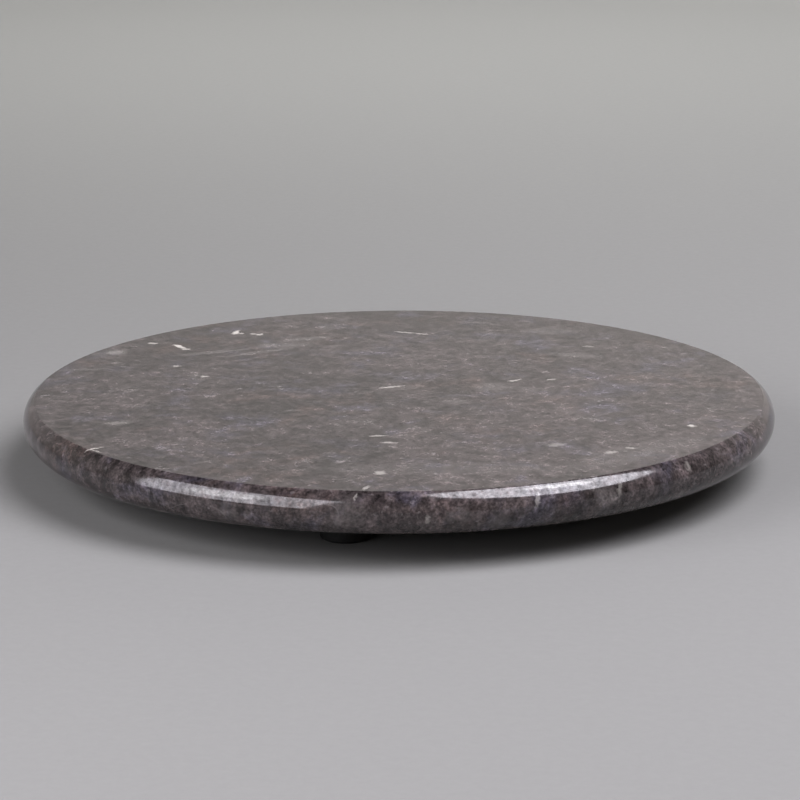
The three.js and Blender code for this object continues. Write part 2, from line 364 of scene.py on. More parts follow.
def object_mm(tree, turn):
    """Object coordinates in millimetres, turned about the spin axis."""
    place = node(tree, "ShaderNodeTexCoord", out="Object")
    scale = (1 / MM, 1 / MM, 1 / MM)
    return node(tree, "ShaderNodeMapping", {"Vector": place, "Scale": scale, "Rotation": (0, 0, turn)})


def toned(tree, tone, value, start, end, low, high):
    """A colour times a share that goes from low to high as the value goes from start to end."""
    reach = {"Value": value, "From Min": start, "From Max": end, "To Min": low, "To Max": high}
    share = node(tree, "ShaderNodeMapRange", reach)
    return node(tree, "ShaderNodeMix", {"Factor": 1.0, "A": tone, "B": share}, **MULTIPLIED)


def new_object(name, data, material=None):
    made = bpy.data.objects.new(name, data)
    bpy.context.scene.collection.objects.link(made)
    if material:
        data.materials.clear()
        data.materials.append(material)
    return made


def shade(mesh):
    mesh.shade_smooth()
    mesh.set_sharp_from_angle(angle=SHARP_ANGLE)


def finished(build, name):
    """The mesh of a bmesh, which is freed."""
    mesh = bpy.data.meshes.new(name)
    build.to_mesh(mesh)
    build.free()
    return mesh


def revolved(name, profile, segments):
    """Turns (radius, height) points round the spin axis into a closed mesh.

    The profile starts and ends on the axis, or else it is closed into a ring."""
    build = bmesh.new()
    rings = []
    for radius, height in profile:
        if radius == 0:
            rings.append([build.verts.new((0, 0, height))])
            continue
        angles = (2 * math.pi * i / segments for i in range(segments))
        places = ((radius * math.cos(a), radius * math.sin(a), height) for a in angles)
        rings.append([build.verts.new(place) for place in places])
    following = rings[1:] + (rings[:1] if profile[0][0] > 0 else [])
    for lower, upper in zip(rings, following):
        for i in range(segments):
            j = (i + 1) % segments
            # A ring of one point stands in for all the points of a ring.
            inner = (lower[i % len(lower)], lower[j % len(lower)])
            outer = (upper[j % len(upper)], upper[i % len(upper)])
            build.faces.new(dict.fromkeys(inner + outer))
    bmesh.ops.recalc_face_normals(build, faces=build.faces)
    return finished(build, name)


def arc(centre, radius, start, end, steps):
    """Points of an arc in a profile, with the angles in degrees."""
    angles = (math.radians(start + (end - start) * i / steps) for i in range(steps + 1))
    return [(centre[0] + radius * math.cos(a), centre[1] + radius * math.sin(a)) for a in angles]


def drill(radius, bottom, top, segments):
    """A closed cylinder mesh on the spin axis, used only to cut holes."""
    return revolved("hole", [(0, bottom), (radius, bottom), (radius, top), (0, top)], segments)


def slab(size, centre):
    """A closed box mesh, used only to cut slots."""
    build = bmesh.new()
    bmesh.ops.create_cube(build, size=1, matrix=Matrix.Translation(centre) @ Matrix.Diagonal((*size, 1)))
    return finished(build, "slot")


def joined(meshes):
    """One mesh out of several."""
    build = bmesh.new()
    for mesh in meshes:
        build.from_mesh(mesh)
    return finished(build, "tools")


def moved(mesh, matrix):
    mesh.transform(matrix)
    return mesh


def cut(mesh, tool):
    """The mesh with a closed tool mesh cut out of it."""
    whole = new_object("whole", mesh)
    cutter = new_object("cutter", tool)
    modifier = whole.modifiers.new("cut", "BOOLEAN")
    modifier.operation = "DIFFERENCE"
    modifier.solver = "EXACT"
    modifier.use_self = True
    modifier.object = cutter
    result = evaluated(whole)
    bpy.data.objects.remove(whole)
    bpy.data.objects.remove(cutter)
    return result


def evaluated(source):
    graph = bpy.context.evaluated_depsgraph_get()
    return bpy.data.meshes.new_from_object(source.evaluated_get(graph), depsgraph=graph)


def piece(name, mesh, material, body, replaced):
    """A finished piece: named, shaded, tied to its body, and standing in for the frame nodes, which it
    hides.
    """
    mesh.name = name
    shade(mesh)
    made = new_object(name, mesh, material)
    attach(made, body)
    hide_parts(*replaced)


# ---- Geometry node trees -----------------------------------------------------------------


def new_tree(name, sockets):
    """A geometry tree with the named inputs, and those inputs' sockets."""
    tree = bpy.data.node_groups.new(name, "GeometryNodeTree")
    for label, kind in sockets:
        tree.interface.new_socket(label, in_out="INPUT", socket_type=kind)
    tree.interface.new_socket("Geometry", in_out="OUTPUT", socket_type="NodeSocketGeometry")
    return tree, node(tree, "NodeGroupInput").node.outputs


CIRCLE_SOCKETS = (
    ("Count", "NodeSocketInt"),
    ("Circle Radius", "NodeSocketFloat"),
    ("Start Angle", "NodeSocketFloat"),
    ("Height", "NodeSocketFloat"),
    ("Material", "NodeSocketMaterial"),
)


def spread(tree, given, copy, facing=(0, 0, 0)):
    """Ends a tree with copies spread evenly on a level circle, as plain geometry with the material."""
    size = {"Vertices": given["Count"], "Radius": given["Circle Radius"]}
    ring = node(tree, "GeometryNodeMeshCircle", size)
    turn = node(tree, "ShaderNodeCombineXYZ", {"Z": given["Start Angle"]})
    lift = node(tree, "ShaderNodeCombineXYZ", {"Z": given["Height"]})
    circle = node(tree, "GeometryNodeTransform", {"Geometry": ring, "Rotation": turn, "Translation": lift})
    points = {"Points": circle, "Instance": copy, "Rotation": facing}
    copies = node(tree, "GeometryNodeInstanceOnPoints", points)
    real = node(tree, "GeometryNodeRealizeInstances", {"Geometry": copies})
    done = node(tree, "GeometryNodeSetMaterial", {"Geometry": real, "Material": given["Material"]})
    node(tree, "NodeGroupOutput", {"Geometry": done})
    return tree


def copies_tree():
    """Copies of one object on the circle, each with its X axis pointing outwards."""
    tree, given = new_tree("copies_on_circle", (("Piece", "NodeSocketObject"), *CIRCLE_SOCKETS))
    place = node(tree, "GeometryNodeInputPosition")
    facing = node(tree, "FunctionNodeAlignRotationToVector", {"Vector": place}, axis="X", pivot_axis="Z")
    copy = node(tree, "GeometryNodeObjectInfo", {"Object": given["Piece"]}, out="Geometry")
    return spread(tree, given, copy, facing)


def balls_tree():
    """Balls on the circle."""
    tree, given = new_tree("balls_on_circle", (("Ball Radius", "NodeSocketFloat"), *CIRCLE_SOCKETS))
    ball = node(tree, "GeometryNodeMeshIcoSphere", {"Radius": given["Ball Radius"], "Subdivisions": 4})
    return spread(tree, given, node(tree, "GeometryNodeSetShadeSmooth", {"Geometry": ball}))


def grown(tree, **values):
    """Runs a geometry tree on an empty mesh and returns the plain mesh that comes out."""
    host = new_object("host", bpy.data.meshes.new("host"))
    modifier = host.modifiers.new("build", "NODES")
    modifier.node_group = tree
    for socket in tree.interface.items_tree:
        if socket.in_out == "INPUT":
            modifier[socket.identifier] = values[socket.name.replace(" ", "_")]
    result = evaluated(host)
    host.modifiers.clear()
    bpy.data.objects.remove(host)
    return result


def on_circle(mesh, count, radius, start, material=None):
    """Copies of a mesh on a level circle, as one mesh."""
    model = new_object("model", mesh)
    values = {"Count": count, "Circle_Radius": radius, "Start_Angle": start, "Height": 0.0}
    copies = grown(copies_tree(), Piece=model, Material=material, **values)
    bpy.data.objects.remove(model)
    return copies


# ---- Materials ---------------------------------------------------------------------------

# Patterns are drawn on coordinates in millimetres, so a Scale of 1 / 8 gives marks about 8 mm wide.
TARNISH = "#7a5c2e"
NYLON_STREAK = "#c4bda8"
DUST = "#3a3836"


def polished_limestone(settings, turn):
    """Dark fossil limestone, polished: a close grain full of shell fragments under a clear gloss."""
    material, tree, shader, mm = new_material("polished_fossil_limestone", turn, Roughness=0.1, IOR=1.6)
    ragged = ragged_place(tree, mm)
    colour = stone_ground(tree, mm, settings)
    fragments = stone_fragments(tree, mm, ragged)
    chips = {"Factor": fragments, "A": colour, "B": linear(settings.debris)}
    colour = node(tree, "ShaderNodeMix", chips, **LAID)
    mottle = node(tree, "ShaderNodeTexNoise", {"Vector": mm, "Scale": 0.3, "Detail": 6.0, "Roughness": 0.8})
    reach = {"Value": mottle, "From Min": 0.36, "From Max": 0.64, "To Min": 0.1, "To Max": 1.5}
    broken = node(tree, "ShaderNodeMapRange", reach)
    for tone, places, density in (
        (settings.dark, DARKS, broken),
        (settings.haze, HAZES, broken),
        (settings.shell, SHELLS, 1.0),
    ):
        whole = placed_shells(tree, ragged, places)
        shape = node(tree, "ShaderNodeMath", {0: whole, 1: density}, operation="MULTIPLY")
        colour = node(tree, "ShaderNodeMix", {"Factor": shape, "A": colour, "B": linear(tone)}, **LAID)
    polish = node(tree, "ShaderNodeTexNoise", {"Vector": mm, "Scale": 0.12, "Detail": 6.0})
    reach = {"Value": polish, "From Min": 0.3, "From Max": 0.7, "To Min": 0.08, "To Max": 0.14}
    rough = node(tree, "ShaderNodeMapRange", reach)
    # Crystals and shell reflect unequally, which shows the grain where the top is seen at a low angle.
    marks = {"Vector": mm, "Scale": 0.42, "Detail": 5.0, "Roughness": 0.8}
    crystals = node(tree, "ShaderNodeTexNoise", marks)
    reach = {"Value": crystals, "From Min": 0.35, "From Max": 0.65, "To Min": 0.24, "To Max": 0.84}
    shine = node(tree, "ShaderNodeMapRange", reach)
    relief = node(tree, "ShaderNodeBump", {"Height": fragments, "Distance": 0.01 * MM, "Strength": 0.5})
    feed(tree, shader, Base_Color=colour, Roughness=rough, Normal=relief, Specular_IOR_Level=shine)
    return material


def ragged_place(tree, mm):
    """Places shifted a little at random, which makes the outlines of fragments ragged."""
    wander = node(tree, "ShaderNodeTexNoise", {"Vector": mm, "Scale": 0.55, "Detail": 3.0}, out="Color")
    centred = node(tree, "ShaderNodeVectorMath", {0: wander, 1: (0.5, 0.5, 0.5)}, operation="SUBTRACT")
    shift = node(tree, "ShaderNodeVectorMath", {0: centred, "Scale": 3.2}, operation="SCALE")
    return node(tree, "ShaderNodeVectorMath", {0: mm, 1: shift}, operation="ADD")


def stone_ground(tree, mm, settings):
    """Clouds of grey, brown and violet, with mottling and the crystal grain over them."""
    size = settings.cloud_size / MM
    marks = {"Vector": mm, "Scale": 1 / size, "Detail": 7.0, "Roughness": 0.62, "Distortion": 0.6}
    cloud = node(tree, "ShaderNodeTexNoise", marks)
    spread = node(tree, "ShaderNodeMapRange", {"Value": cloud, "From Min": 0.38, "From Max": 0.6})
    clouds = {"Factor": spread, "A": linear(settings.shade), "B": linear(settings.ground)}
    colour = node(tree, "ShaderNodeMix", clouds, **LAID)
    # Tone, start, size of the patches, where they begin and end in the noise, greatest strength
    for tone, start, size, low, high, most in (
        (settings.violet, (171, 59, 23), 24, 0.52, 0.64, 0.75),
        (settings.rust, (-88, 140, 61), 36, 0.55, 0.68, 0.6),
        (settings.haze, (15, -240, 90), 19, 0.6, 0.72, 0.5),
    ):
        place = node(tree, "ShaderNodeVectorMath", {0: mm, 1: start}, operation="ADD")
        marks = {"Vector": place, "Scale": 1 / size, "Detail": 7.0, "Roughness": 0.68, "Distortion": 0.4}
        patch = node(tree, "ShaderNodeTexNoise", marks)
        reach = {"Value": patch, "From Min": low, "From Max": high, "To Max": most}
        amount = node(tree, "ShaderNodeMapRange", reach)
        colour = node(tree, "ShaderNodeMix", {"Factor": amount, "A": colour, "B": linear(tone)}, **LAID)
    grain_size = settings.grain_size / MM
    # Size of the marks, least and greatest share of the colour
    for size, low, high in (
        (9.0, 0.66, 1.34),
        (4.5, 0.54, 1.46),
        (grain_size, 0.6, 1.4),
        (grain_size / 2, 0.7, 1.3),
    ):
        marks = {"Vector": mm, "Scale": 1 / size, "Detail": 3.0, "Roughness": 0.6}
        grain = node(tree, "ShaderNodeTexNoise", marks)
        colour = toned(tree, colour, grain, 0.3, 0.7, low, high)
    return colour


def stone_fragments(tree, mm, ragged):
    """Shell hash: chips of many sizes, thin curved shell edges, and a few healed cracks."""
    marks = {"Vector": mm, "Scale": 1 / 26, "Detail": 5.0, "Roughness": 0.75}
    patch = node(tree, "ShaderNodeTexNoise", marks)
    reach = {"Value": patch, "From Min": 0.38, "From Max": 0.6, "To Min": 0.35}
    crowded = node(tree, "ShaderNodeMapRange", reach)
    # Chips: cell spacing, length over width, turn in degrees, share of cells with one, size, strength
    chips = None
    for spacing, stretch, turn, share, size, strength in (
        (1.7, 1.6, -65, 0.42, 0.38, 0.3),
        (2.6, 1.5, 20, 0.36, 0.34, 0.3),
        (3.4, 1.9, 75, 0.25, 0.3, 0.34),
        (3.8, 4.6, 8, 0.16, 0.11, 0.45),
        (4.4, 5.0, -35, 0.14, 0.1, 0.45),
        (5.2, 2.3, -40, 0.12, 0.2, 0.45),
        (9.0, 2.6, 15, 0.14, 0.13, 0.6),
        (19.0, 1.8, 50, 0.18, 0.09, 0.8),
    ):
        grid = {"Vector": ragged, "Scale": (spacing * stretch, spacing, spacing),
                "Rotation": (0, 0, math.radians(turn))}
        place = node(tree, "ShaderNodeMapping", grid, vector_type="TEXTURE")
        cells = node(tree, "ShaderNodeTexVoronoi", {"Vector": place, "Scale": 1.0}).node.outputs
        chance = node(tree, "ShaderNodeSeparateColor", {"Color": cells["Color"]}).node.outputs
        limit = {"Value": chance["Red"], "From Min": 1 - share, "To Max": size}
        reach = node(tree, "ShaderNodeMapRange", limit)
        inside = node(tree, "ShaderNodeMath", {0: reach, 1: cells["Distance"]}, operation="SUBTRACT")
        solid = node(tree, "ShaderNodeMath", {0: inside, 1: 3 / size}, operation="MULTIPLY", use_clamp=True)
        fade = {"Value": chance["Green"], "To Min": 0.25 * strength, "To Max": strength}
        faded = node(tree, "ShaderNodeMapRange", fade)
        shown_chips = node(tree, "ShaderNodeMath", {0: solid, 1: faded}, operation="MULTIPLY")
        chips = node(tree, "ShaderNodeMath", {0: shown_chips, 1: chips or 0.0}, operation="MAXIMUM")
    total = node(tree, "ShaderNodeMath", {0: chips, 1: crowded}, operation="MULTIPLY")
    # Edges: start, size of the curves, half width, size and level of the breaks, strength
    for start, size, width, gap_size, gap, strength in (
        ((40, 10, 0), 5.0, 0.018, 2.4, 0.56, 0.06),
        ((90, 70, 8), 9.0, 0.011, 3.2, 0.58, 0.08),
        ((7, -60, 30), 75.0, 0.0022, 11.0, 0.52, 0.26),
    ):
        place = node(tree, "ShaderNodeVectorMath", {0: mm, 1: start}, operation="ADD")
        line = node(tree, "ShaderNodeTexNoise", {"Vector": place, "Scale": 1 / size, "Detail": 3.0})
        away = node(tree, "ShaderNodeMath", {0: line, 1: 0.5}, operation="SUBTRACT")
        near = node(tree, "ShaderNodeMath", {0: away}, operation="ABSOLUTE")
        fade = {"Value": near, "From Max": width, "To Min": strength, "To Max": 0.0}
        thin = node(tree, "ShaderNodeMapRange", fade)
        breaks = node(tree, "ShaderNodeTexNoise", {"Vector": place, "Scale": 1 / gap_size, "Detail": 2.0})
        kept = node(tree, "ShaderNodeMapRange", {"Value": breaks, "From Min": gap, "From Max": gap + 0.08})
        edge = node(tree, "ShaderNodeMath", {0: thin, 1: kept}, operation="MULTIPLY")
        here = node(tree, "ShaderNodeMath", {0: edge, 1: crowded}, operation="MULTIPLY")
        total = node(tree, "ShaderNodeMath", {0: here, 1: total}, operation="MAXIMUM")
    return total


def placed_shells(tree, ragged, places):
    """Single shells and patches, each an ellipsoid in the stone."""
    total = None
    for x, y, z, length_, width, turn, strength in places:
        middle = {"Vector": ragged, "Location": (x, y, z), "Rotation": (0, 0, math.radians(turn))}
        middle["Scale"] = (length_ / 2, width / 2, width / 2 + 1)
        place = node(tree, "ShaderNodeMapping", middle, vector_type="TEXTURE")
        away = node(tree, "ShaderNodeVectorMath", {0: place}, out="Value", operation="LENGTH")
        soft = {"Value": away, "From Min": 0.5, "From Max": 1.1, "To Min": strength, "To Max": 0.0}
        shape = node(tree, "ShaderNodeMapRange", soft)
        total = node(tree, "ShaderNodeMath", {0: shape, 1: total or 0.0}, operation="MAXIMUM")
    return total


def turned_aluminium(settings):
    """Aluminium bar turned on a lathe: fine rings of tool marks, and a satin metal sheen."""
    material, tree, shader, mm = new_material("turned_aluminium", Metallic=1.0, Roughness=0.34)
    level = node(tree, "ShaderNodeVectorMath", {0: mm, 1: (1, 1, 0)}, operation="MULTIPLY")
    radius = node(tree, "ShaderNodeVectorMath", {0: level}, operation="LENGTH")
    height = node(tree, "ShaderNodeSeparateXYZ", {"Vector": mm}, out="Z")
    along = node(tree, "ShaderNodeMath", {0: radius, 1: height}, operation="ADD")
    turns = node(tree, "ShaderNodeMath", {0: along, 1: MM / settings.tool_mark}, operation="MULTIPLY")
    lines = {"W": turns, "Scale": 1.0, "Detail": 3.0}
    marks = node(tree, "ShaderNodeTexNoise", lines, noise_dimensions="1D")
    cloud = node(tree, "ShaderNodeTexNoise", {"Vector": mm, "Scale": 0.08, "Detail": 4.0})
    bright = toned(tree, linear(settings.aluminium), cloud, 0.35, 0.7, 0.86, 1.0)
    sheen = {"Value": marks, "From Min": 0.3, "From Max": 0.7, "To Min": 0.26, "To Max": 0.44}
    rough = node(tree, "ShaderNodeMapRange", sheen)
    relief = node(tree, "ShaderNodeBump", {"Height": marks, "Distance": 0.02 * MM, "Strength": 0.6})
    feed(tree, shader, Base_Color=bright, Roughness=rough, Normal=relief)
    return material


def zinc_plated_steel(settings):
    """Steel with a bright zinc coat: slightly blue, with soft crystalline blotches."""
    material, tree, shader, mm = new_material("zinc_plated_steel", Metallic=1.0, Roughness=0.3)
    spots = {"Vector": mm, "Scale": 1.4, "Randomness": 1.0}
    blotch = node(tree, "ShaderNodeTexVoronoi", spots, out="Color")
    grey = node(tree, "ShaderNodeSeparateColor", {"Color": blotch})
    base = toned(tree, linear(settings.steel), grey, 0.0, 1.0, 0.8, 1.0)
    rough = node(tree, "ShaderNodeMapRange", {"Value": grey, "To Min": 0.22, "To Max": 0.4})
    feed(tree, shader, Base_Color=base, Roughness=rough)
    return material


def chrome_steel(settings):
    """Ground and lapped bearing steel: close to a mirror, with faint hazy scuffs."""
    material, tree, shader, mm = new_material("chrome_bearing_steel", Metallic=1.0, Roughness=0.1)
    haze = node(tree, "ShaderNodeTexNoise", {"Vector": mm, "Scale": 0.9, "Detail": 5.0})
    base = toned(tree, linear(settings.chrome), haze, 0.3, 0.7, 0.88, 1.0)
    scuff = {"Value": haze, "From Min": 0.35, "From Max": 0.7, "To Min": 0.06, "To Max": 0.2}
    rough = node(tree, "ShaderNodeMapRange", scuff)
    feed(tree, shader, Base_Color=base, Roughness=rough)
    return material


def free_cutting_brass(settings):
    """Brass turned from bar: warm yellow, going brown in cloudy patches of tarnish."""
    material, tree, shader, mm = new_material("free_cutting_brass", Metallic=1.0, Roughness=0.35)
    tarnish = node(tree, "ShaderNodeTexNoise", {"Vector": mm, "Scale": 0.5, "Detail": 6.0})
    amount = node(tree, "ShaderNodeMapRange", {"Value": tarnish, "From Min": 0.45, "From Max": 0.7})
    tones = {"Factor": amount, "A": linear(settings.brass), "B": linear(TARNISH)}
    base = node(tree, "ShaderNodeMix", tones, **LAID)
    rough = node(tree, "ShaderNodeMapRange", {"Value": tarnish, "To Min": 0.25, "To Max": 0.5})
    feed(tree, shader, Base_Color=base, Roughness=rough)
    return material


def moulded_nylon(settings):
    """Moulded nylon: milky, a little yellow, with a dry satin skin."""
    material, tree, shader, mm = new_material("moulded_nylon", Roughness=0.5, IOR=1.53)
    shader.inputs["Subsurface Weight"].default_value = 0.15
    shader.inputs["Subsurface Radius"].default_value = (1 * MM, 0.8 * MM, 0.6 * MM)
    flow = node(tree, "ShaderNodeTexNoise", {"Vector": mm, "Scale": 0.15, "Detail": 4.0, "Distortion": 1.5})
    tones = {"Factor": flow, "A": linear(settings.nylon), "B": linear(NYLON_STREAK)}
    base = node(tree, "ShaderNodeMix", tones, **LAID)
    skin = node(tree, "ShaderNodeTexNoise", {"Vector": mm, "Scale": 6.0, "Detail": 2.0})
    relief = node(tree, "ShaderNodeBump", {"Height": skin, "Distance": 0.02 * MM, "Strength": 0.5})
    feed(tree, shader, Base_Color=base, Normal=relief)
    return material


def moulded_rubber(settings):
    """Black moulded rubber: matt, fine-skinned, with a little grey dust on it."""
    material, tree, shader, mm = new_material("moulded_rubber", Roughness=0.7, IOR=1.5)
    dust = node(tree, "ShaderNodeTexNoise", {"Vector": mm, "Scale": 0.6, "Detail": 8.0, "Roughness": 0.7})
    reach = {"Value": dust, "From Min": 0.5, "From Max": 0.8, "To Max": 0.5}
    amount = node(tree, "ShaderNodeMapRange", reach)
    tones = {"Factor": amount, "A": linear(settings.rubber), "B": linear(DUST)}
    base = node(tree, "ShaderNodeMix", tones, **LAID)
    skin = node(tree, "ShaderNodeTexNoise", {"Vector": mm, "Scale": 4.0, "Detail": 3.0})
    rough = node(tree, "ShaderNodeMapRange", {"Value": skin, "To Min": 0.6, "To Max": 0.85})
    relief = node(tree, "ShaderNodeBump", {"Height": skin, "Distance": 0.04 * MM, "Strength": 0.6})
    feed(tree, shader, Base_Color=base, Roughness=rough, Normal=relief)
    return material


def backdrop_paper(settings):
    """Seamless grey background paper: matt, with a faint cloudy fibre pattern."""
    material, tree, shader, mm = new_material("backdrop_paper", Roughness=0.95)
    shader.inputs["Specular IOR Level"].default_value = 0.1
    marks = {"Vector": mm, "Scale": 0.25, "Detail": 8.0, "Roughness": 0.75}
    fibre = node(tree, "ShaderNodeTexNoise", marks)
    base = toned(tree, linear(settings.paper), fibre, 0.3, 0.7, 0.975, 1.025)
    relief = node(tree, "ShaderNodeBump", {"Height": fibre, "Distance": 0.05 * MM, "Strength": 0.4})
    feed(tree, shader, Base_Color=base, Normal=relief)
    return material


# ---- Stone disc --------------------------------------------------------------------------


def stone_profile():
    """Half a section of the disc: flat faces, and a rounded edge that meets them at a soft crease."""
    half = (STONE_HIGH.z - STONE_LOW.z) / 2
    middle = (STONE_HIGH.z + STONE_LOW.z) / 2
    depth = DISC_RADIUS - FLAT_RADIUS
    nose = (half**2 + depth**2) / (2 * depth)
    nose_centre = DISC_RADIUS - nose
    # A small arc that touches both the flat and the nose softens the crease.
    crease_rise = half - CREASE_RADIUS
    crease_reach = math.sqrt((nose - CREASE_RADIUS) ** 2 - crease_rise**2)
    crease_angle = math.degrees(math.atan2(crease_rise, crease_reach))
    crease_centre = nose_centre + crease_reach
    lower = arc((crease_centre, middle - crease_rise), CREASE_RADIUS, -90, -crease_angle, CREASE_STEPS)
    edge = arc((nose_centre, middle), nose, -crease_angle, crease_angle, NOSE_STEPS)
    upper = arc((crease_centre, middle + crease_rise), CREASE_RADIUS, crease_angle, 90, CREASE_STEPS)
    shoulder = crease_centre - SHOULDER
    rings = [DISC_RADIUS * share for share in (0.25, 0.5, 0.75)]
    bottom = [(0, STONE_LOW.z)] + [(r, STONE_LOW.z) for r in rings] + [(shoulder, STONE_LOW.z)]
    top = [(shoulder, STONE_HIGH.z)] + [(r, STONE_HIGH.z) for r in reversed(rings)] + [(0, STONE_HIGH.z)]
    return bottom + lower + edge[1:-1] + upper + top


def make_stone(settings, turn):
    disc = revolved("stone", stone_profile(), settings.segments)
    hole = drill(INSERT_HOLE, STONE_LOW.z - MM, INSERT_HIGH.z + CLEARANCE, HOLE_SEGMENTS)
    disc = cut(disc, on_circle(hole, len(INSERTS), ROTOR_SCREW_CIRCLE, ROTOR_SCREW_START))
    stone = polished_limestone(settings, turn)
    piece("stone_disc", disc, stone, "turntable", ["stone_top"])


# ---- Bearing rings, balls and cage -------------------------------------------------------


def groove(middle):
    """Ball groove in a ring's wall, about that angle in degrees, as seen in the ring's section."""
    half = math.degrees(math.acos(RACE_GAP / 2 / GROOVE_RADIUS))
    return arc((RACE_RADIUS, RACE_HEIGHT), GROOVE_RADIUS, middle + half, middle - half, 12)


def rounded(corner, radius, start, steps=4):
    """A quarter-round corner of a section, inside a square corner, starting at that angle."""
    inward = math.radians(start + 45)
    across = math.copysign(radius, math.cos(inward))
    up = math.copysign(radius, math.sin(inward))
    return arc((corner[0] - across, corner[1] - up), radius, start, start + 90, steps)


def make_rotor_ring(material):
    bottom, top = ROTOR_LOW.z, ROTOR_HIGH.z
    section = [
        *rounded((ROTOR_BORE, bottom), EDGE_ROUND, 180),
        *rounded((ROTOR_RADIUS, bottom), EDGE_ROUND, 270),
        *groove(180),
        *rounded((ROTOR_RADIUS, top), EDGE_BREAK, 0),
        *rounded((ROTOR_BORE, top), EDGE_BREAK, 90),
    ]
    ring = revolved("ring", section, RING_SEGMENTS)
    head = ROTOR_SCREW_LOW.z
    seat = [
        (0, bottom - MM),
        (COUNTERSINK + CLEARANCE, bottom - MM),
        (COUNTERSINK + CLEARANCE, head),
        (SHANK_HOLE, head + COUNTERSINK_DEPTH),
        (SHANK_HOLE, top + MM),
        (0, top + MM),
    ]
    hole = revolved("seat", seat, HOLE_SEGMENTS)
    ring = cut(ring, on_circle(hole, len(ROTOR_SCREWS), ROTOR_SCREW_CIRCLE, ROTOR_SCREW_START))
    piece("bearing_inner_ring", ring, material, "turntable", ["rotor_ring"])


def make_base_ring(material):
    bottom, top = BASE_LOW.z, BASE_HIGH.z
    inner = RACE_RADIUS + RACE_GAP / 2
    section = [
        *rounded((inner, bottom), EDGE_ROUND, 180),
        (BASE_RADIUS - BASE_BEVEL, bottom),
        (BASE_RADIUS, bottom + BASE_BEVEL),
        *rounded((BASE_RADIUS, top), EDGE_ROUND, 0),
        *rounded((inner, top), EDGE_BREAK, 90),
        *groove(0),
    ]
    ring = revolved("ring", section, RING_SEGMENTS)
    hole = drill(SHANK_HOLE, bottom - MM, FOOT_SCREW_HIGH.z + CLEARANCE, FOOT_HOLE_SEGMENTS)
    holes = on_circle(hole, len(FEET), FOOT_CIRCLE, 0.0)
    filling = radial_rod(PLUG_RADIUS + CLEARANCE, RACE_RADIUS, BASE_RADIUS + MM)
    tools = joined([holes, moved(filling, Matrix.Rotation(PLUG_ANGLE, 4, "Z"))])
    piece("bearing_outer_ring", cut(ring, tools), material, "base", ["base_ring"])


def radial_rod(radius, inner, outer, chamfer=0.0):
    """A rod lying along +X at the height of the balls."""
    end = [(radius, outer - chamfer), (radius - chamfer, outer)] if chamfer else [(radius, outer)]
    rod = revolved("rod", [(0, inner), (radius, inner), *end, (0, outer)], SCREW_SEGMENTS)
    return moved(rod, Matrix.Translation((0, 0, RACE_HEIGHT)) @ Matrix.Rotation(math.pi / 2, 4, "Y"))


def make_plug(material):
    inner = RACE_RADIUS + GROOVE_RADIUS + CLEARANCE
    outer = BASE_RADIUS - MM
    slot = slab((2 * RECESS_DEPTH, 5 * PLUG_RADIUS, RECESS_WIDTH), (outer, 0, RACE_HEIGHT))
    plug = cut(radial_rod(PLUG_RADIUS, inner, outer, PLUG_CHAMFER), slot)
    moved(plug, Matrix.Rotation(PLUG_ANGLE, 4, "Z"))
    piece("filling_plug", plug, material, "base", ["fill_plug"])


def make_balls(material):
    circle = {"Count": len(BALLS), "Circle_Radius": RACE_RADIUS, "Start_Angle": BALL_START}
    balls = grown(balls_tree(), Ball_Radius=BALL_RADIUS, Height=RACE_HEIGHT, Material=material, **circle)
    piece("bearing_balls", balls, material, "ball_cage", BALLS)


def make_cage(material):
    inner = RACE_RADIUS - CAGE_WALL / 2
    outer = RACE_RADIUS + CAGE_WALL / 2
    section = [
        *rounded((inner, CAGE_LOW.z), CAGE_ROUND, 180),
        *rounded((outer, CAGE_LOW.z), CAGE_ROUND, 270),
        *rounded((outer, CAGE_HIGH.z), CAGE_ROUND, 0),
        *rounded((inner, CAGE_HIGH.z), CAGE_ROUND, 90),
    ]
    strip = revolved("strip", section, RING_SEGMENTS)
    # The pockets are rods laid along radii, moved in to the axis so that the circle puts them in place.
    rod = moved(radial_rod(GROOVE_RADIUS, inner - MM, outer + MM), Matrix.Translation((-RACE_RADIUS, 0, 0)))
    pockets = on_circle(rod, len(BALLS), RACE_RADIUS, BALL_START)
    piece("ball_retainer", cut(strip, pockets), material, "ball_cage", ["ball_cage"])


# ---- Screws, inserts and feet ------------------------------------------------------------


def shank(neck, tip, plain):
    """A screw's shank in a profile: its thread is drawn as rings, which look the same at this size."""
    root = SHANK_RADIUS - THREAD_DEPTH
    start = neck + plain
    count = int((tip - THREAD_END - start) / THREAD_PITCH)
    crests = [start + THREAD_PITCH * (i + 0.5) for i in range(count)]
    thread = [point for z in crests for point in ((root, z - THREAD_PITCH / 2), (SHANK_RADIUS, z))]
    return [(SHANK_RADIUS, neck), *thread, (root, tip - SCREW_POINT), (root - THREAD_DEPTH, tip), (0, tip)]


def crossed(mesh, face, reach):
    """Cuts a cross recess up into a screw head."""
    depth = 2 * RECESS_DEPTH
    for size in ((reach, RECESS_WIDTH, depth), (RECESS_WIDTH, reach, depth)):
        mesh = cut(mesh, slab(size, (0, 0, face)))
    return mesh


def make_rotor_screws(material):
    face, tip = ROTOR_SCREW_LOW.z, ROTOR_SCREW_HIGH.z
    neck = face + COUNTERSINK_DEPTH
    profile = [
        (0, face),
        (COUNTERSINK - 0.2 * MM, face),
        (COUNTERSINK, face + 0.2 * MM),
        *shank(neck, tip, plain=0.5 * MM),
    ]
    screw = crossed(revolved("screw", profile, SCREW_SEGMENTS), face, COUNTERSINK)
    screws = on_circle(screw, len(ROTOR_SCREWS), ROTOR_SCREW_CIRCLE, ROTOR_SCREW_START, material)
    piece("disc_screws", screws, material, "turntable", ROTOR_SCREWS)


